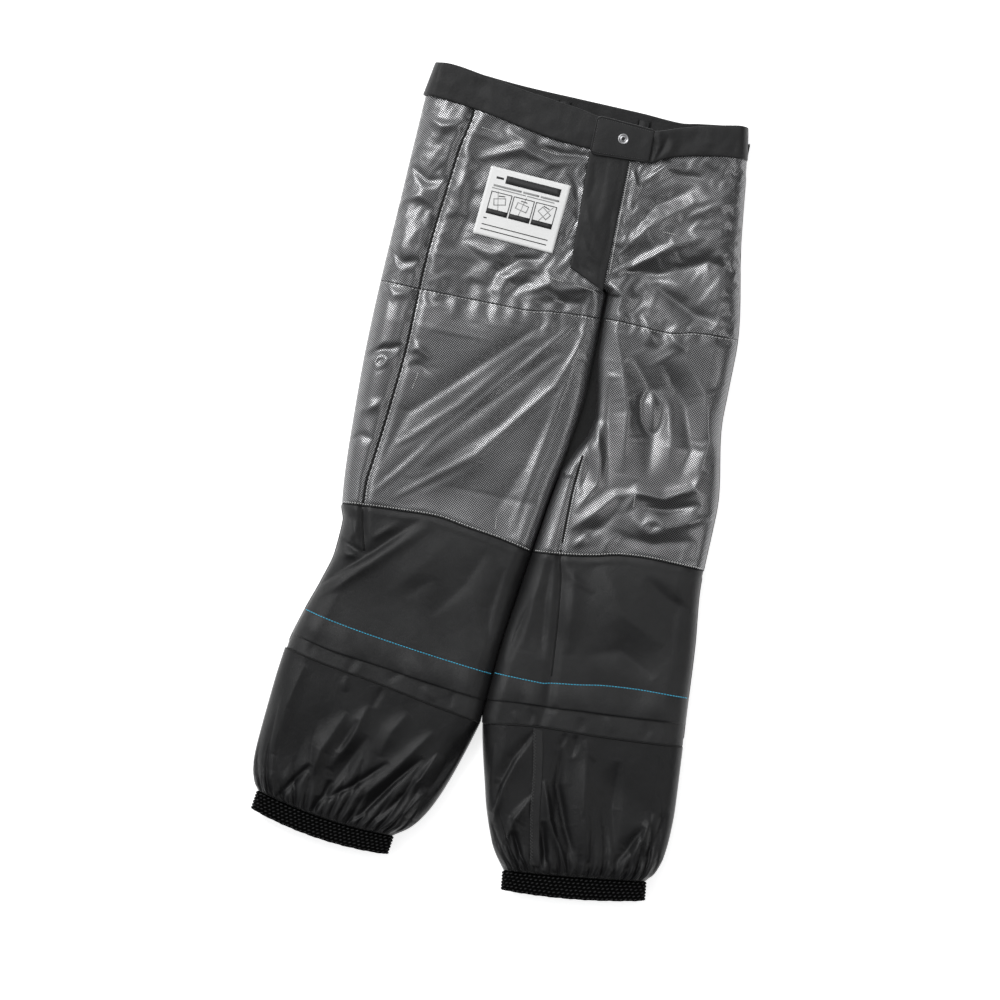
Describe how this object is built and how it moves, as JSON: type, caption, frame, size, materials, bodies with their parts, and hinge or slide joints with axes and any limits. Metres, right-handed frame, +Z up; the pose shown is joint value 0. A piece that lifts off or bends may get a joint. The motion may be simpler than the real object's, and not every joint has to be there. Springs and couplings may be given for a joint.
{
  "type": "ski pants",
  "caption": "Insulated ski pants for a child, turned inside out and laid flat, with snap tab, fly shield and zipper, dotted lining, grow tucks, gaiters and ribbed cuffs.",
  "frame": {"origin": "centre of the bounding box in plan, on the surface the pants lie on", "axes": "+X across the pants to the viewer's right, +Y along the legs towards the waist, +Z up from the surface, out of the fly side"},
  "size_m": [0.4347, 0.8189, 0.0413],
  "materials": {
    "dotted_lining": "woven lining with a pattern of shiny metallic dots",
    "plain_lining": "smooth plain woven lining",
    "insulation": "soft polyester wadding",
    "shell": "coated plain weave",
    "waistband": "brushed tricot",
    "elastic": "ribbed knitted elastic",
    "label": "satin tape",
    "snap_metal": "nickel-plated",
    "zipper_tape": "woven tape",
    "zipper_coil": "nylon coil",
    "zipper_metal": "black enamel",
    "thread": "twisted sewing thread",
    "pocket_cloth": "brushed knit",
    "seam": "overlocked seam allowance",
    "gaiter_cloth": "thin woven nylon"
  },
  "bodies": {
    "seat": {"waistband_back": "waistband", "waistband_front_left": "waistband", "waistband_front_right": "waistband", "waistband_sides": "waistband", "waist_elastic": "elastic", "belt_loops": "waistband", "lining_hip_left": "dotted_lining", "lining_hip_right": "dotted_lining", "lining_thigh_left": "dotted_lining", "lining_thigh_right": "dotted_lining", "lining_back_left": "dotted_lining", "lining_back_right": "dotted_lining", "insulation_front_left": "insulation", "insulation_front_right": "insulation", "insulation_back_left": "insulation", "insulation_back_right": "insulation", "shell_front_left": "shell", "shell_front_right": "shell", "shell_back_left": "shell", "shell_back_right": "shell", "outseam_left": "seam", "outseam_right": "seam", "inseam_left": "seam", "inseam_right": "seam", "pocket_bag_left": "pocket_cloth", "pocket_bag_right": "pocket_cloth", "zipper_tape_left": "zipper_tape", "zipper_tape_right": "zipper_tape", "zipper_coil_left": "zipper_coil", "zipper_coil_right": "zipper_coil", "zipper_stops": "zipper_metal", "care_label": "label", "snap_stud": "snap_metal", "snap_cap": "snap_metal"},
    "waist_tab": {"waist_tab": "waistband", "snap_ring": "snap_metal", "snap_socket": "snap_metal"},
    "fly_flap": {"fly_shield": "waistband"},
    "slider": {"zipper_slider": "zipper_metal"},
    "pull": {"zipper_pull": "zipper_metal"},
    "lower_left": {"lining_lower_front_left": "plain_lining", "lining_lower_back_left": "plain_lining", "insulation_lower_left": "insulation", "shell_lower_left": "shell", "leg_seams_left": "seam", "grow_tuck_left": "plain_lining", "tuck_thread_left": "thread", "gaiter_left": "gaiter_cloth"},
    "lower_right": {"lining_lower_front_right": "plain_lining", "lining_lower_back_right": "plain_lining", "insulation_lower_right": "insulation", "shell_lower_right": "shell", "leg_seams_right": "seam", "grow_tuck_right": "plain_lining", "tuck_thread_right": "thread", "gaiter_right": "gaiter_cloth"},
    "cuff_left": {"cuff_left": "elastic"},
    "cuff_right": {"cuff_right": "elastic"}
  },
  "joints": [
    {"name": "tab_hinge", "type": "hinge", "parent": "seat", "child": "waist_tab", "pos_m": [0.057, 0.368, 0.0404], "axis": [0, 1, 0], "range_deg": [0, 170]},
    {"name": "shield_hinge", "type": "hinge", "parent": "seat", "child": "fly_flap", "pos_m": [0.039, 0.279, 0.0378], "axis": [0, 1, 0], "range_deg": [0, 165]},
    {"name": "zipper_slide", "type": "slide", "parent": "seat", "child": "slider", "axis": [0, -1, 0], "range_m": [0, 0.1]},
    {"name": "pull_hinge", "type": "hinge", "parent": "slider", "child": "pull", "pos_m": [0.0238, 0.337, 0.0245], "axis": [1, 0, 0], "range_deg": [-80, 80]},
    {"name": "knee_fold_left", "type": "hinge", "parent": "seat", "child": "lower_left", "pos_m": [-0.079, -0.056, 0.0364], "axis": [-1, 0, 0], "range_deg": [0, 165]},
    {"name": "knee_fold_right", "type": "hinge", "parent": "seat", "child": "lower_right", "pos_m": [0.1095, -0.056, 0.0364], "axis": [-1, 0, 0], "range_deg": [0, 165]},
    {"name": "cuff_slide_left", "type": "slide", "parent": "lower_left", "child": "cuff_left", "axis": [0.1236, 0.9923, 0], "range_m": [0, 0.055], "deforming": ["gaiter_left"]},
    {"name": "cuff_slide_right", "type": "slide", "parent": "lower_right", "child": "cuff_right", "axis": [-0.1236, 0.9923, 0], "range_m": [0, 0.055], "deforming": ["gaiter_right"]}
  ]
}
